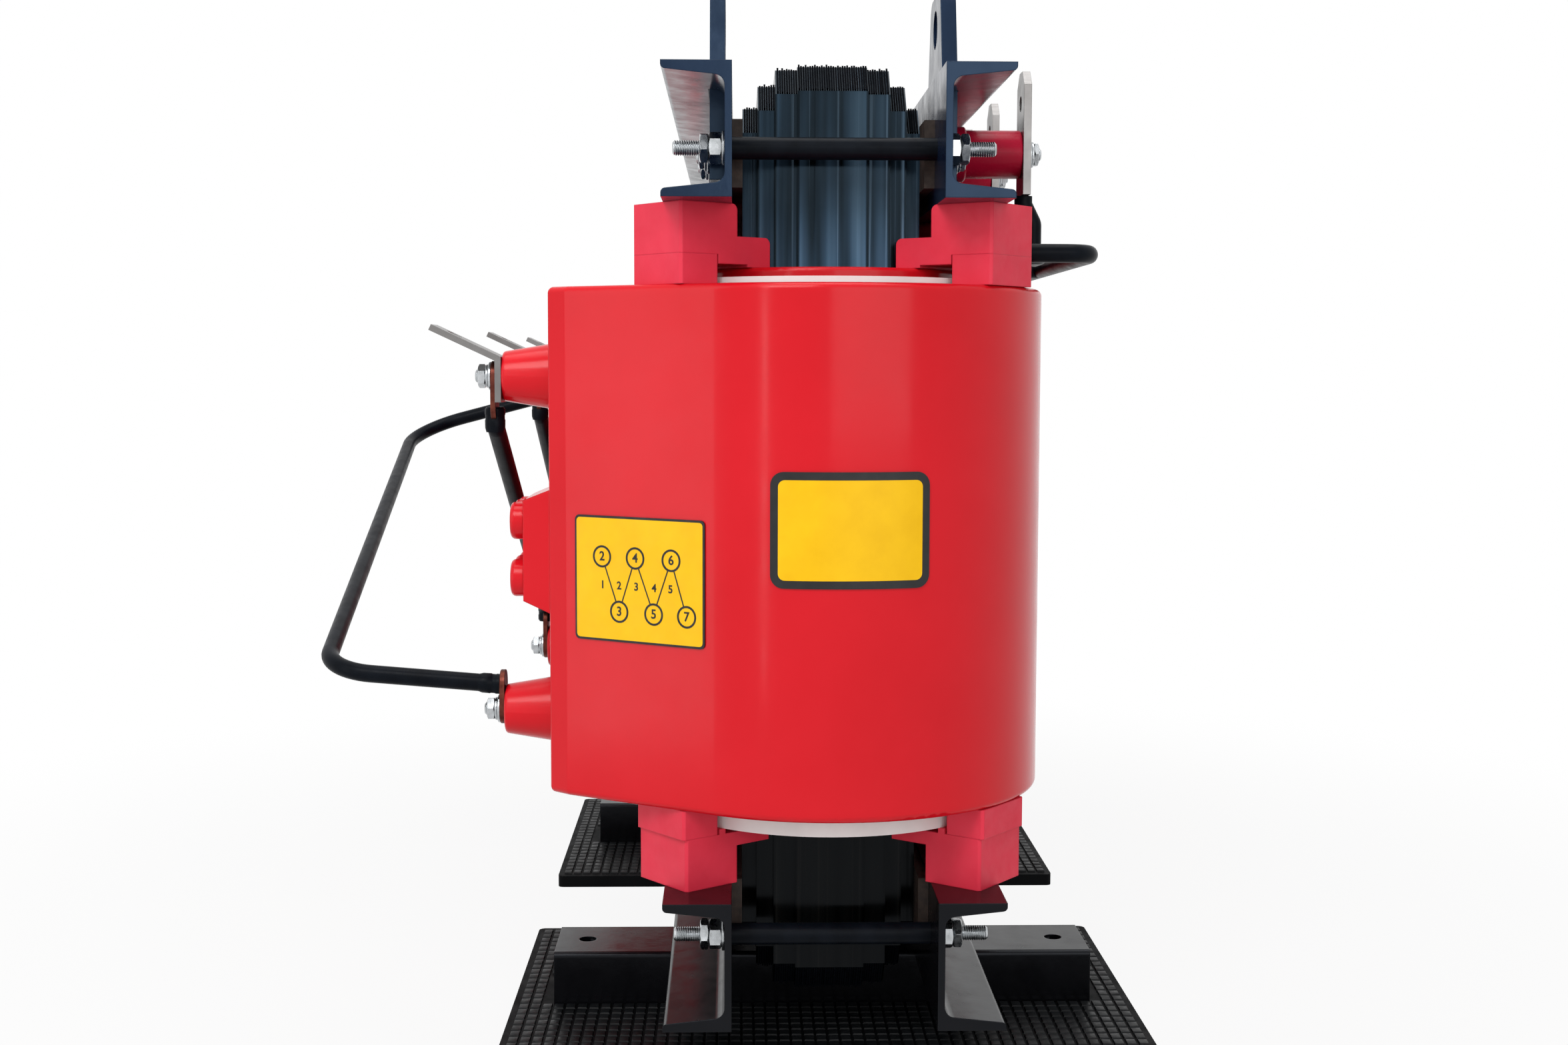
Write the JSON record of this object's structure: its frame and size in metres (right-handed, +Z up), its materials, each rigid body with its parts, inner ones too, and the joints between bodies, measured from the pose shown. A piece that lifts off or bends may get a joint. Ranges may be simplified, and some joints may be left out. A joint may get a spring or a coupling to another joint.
{
  "type": "power transformer",
  "caption": "Dry-type power transformer: crimson cast coils on a stepped black core, held by channel clamps with lifting lugs, delta links and bar terminals, on mats.",
  "frame": {"origin": "centre of the holding-down bolt pattern, at floor level under the mats", "axes": "+X along the row of phases, +Z up, high-voltage side toward -Y"},
  "size_m": [1.064, 0.7246, 0.849],
  "materials": {
    "rubber_mat": "matte ribbed rubber",
    "navy_steel": "gloss dark blue-black paint",
    "core_black": "gloss black paint over laminations",
    "board": "dark pressed insulating board",
    "white_sheet": "white insulating sheet",
    "red_resin": "gloss crimson cast resin",
    "red_block": "satin crimson moulded resin",
    "zinc_steel": "bright zinc plating",
    "black_sleeve": "semi-gloss shrink sleeve",
    "bare_aluminium": "brushed bare metal",
    "copper_lug": "tarnished copper",
    "yellow_plate": "yellow printed plate",
    "black_print": "black print and rims"
  },
  "bodies": {
    "root": {"barrier_tubes": "white_sheet", "bottom_blocks": "red_block", "bottom_clamp_hv": "navy_steel", "bottom_clamp_lv": "navy_steel", "bottom_spacers": "red_block", "bottom_yoke": "core_black", "core_limb_a": "core_black", "core_limb_b": "core_black", "core_limb_c": "core_black", "delta_link_ab": "black_sleeve", "delta_link_bc": "black_sleeve", "delta_link_ca": "black_sleeve", "front_base_channel": "navy_steel", "front_lug_hv": "navy_steel", "front_lug_lv": "navy_steel", "front_rubber_mat": "rubber_mat", "hv_coil_a": "red_resin", "hv_coil_b": "red_resin", "hv_coil_c": "red_resin", "hv_terminal_a": "bare_aluminium", "hv_terminal_b": "bare_aluminium", "hv_terminal_bolts": "zinc_steel", "hv_terminal_c": "bare_aluminium", "lug_bolts": "zinc_steel", "lv_bar_a": "bare_aluminium", "lv_bar_b": "bare_aluminium", "lv_bar_c": "bare_aluminium", "lv_bar_n": "bare_aluminium", "lv_bolts": "zinc_steel", "lv_coil_a": "red_resin", "lv_coil_b": "red_resin", "lv_coil_c": "red_resin", "lv_insulators": "red_block", "lv_leads": "black_sleeve", "neutral_link": "black_sleeve", "rear_base_channel": "navy_steel", "rear_lug_hv": "navy_steel", "rear_lug_lv": "navy_steel", "rear_rubber_mat": "rubber_mat", "tap_caps": "red_resin", "tap_links": "bare_aluminium", "tie_rod_sleeves": "black_sleeve", "tie_rods": "zinc_steel", "top_blocks": "red_block", "top_clamp_hv": "navy_steel", "top_clamp_lv": "navy_steel", "top_spacers": "red_block", "top_yoke": "core_black", "yoke_boards": "board"}
  },
  "joints": []
}
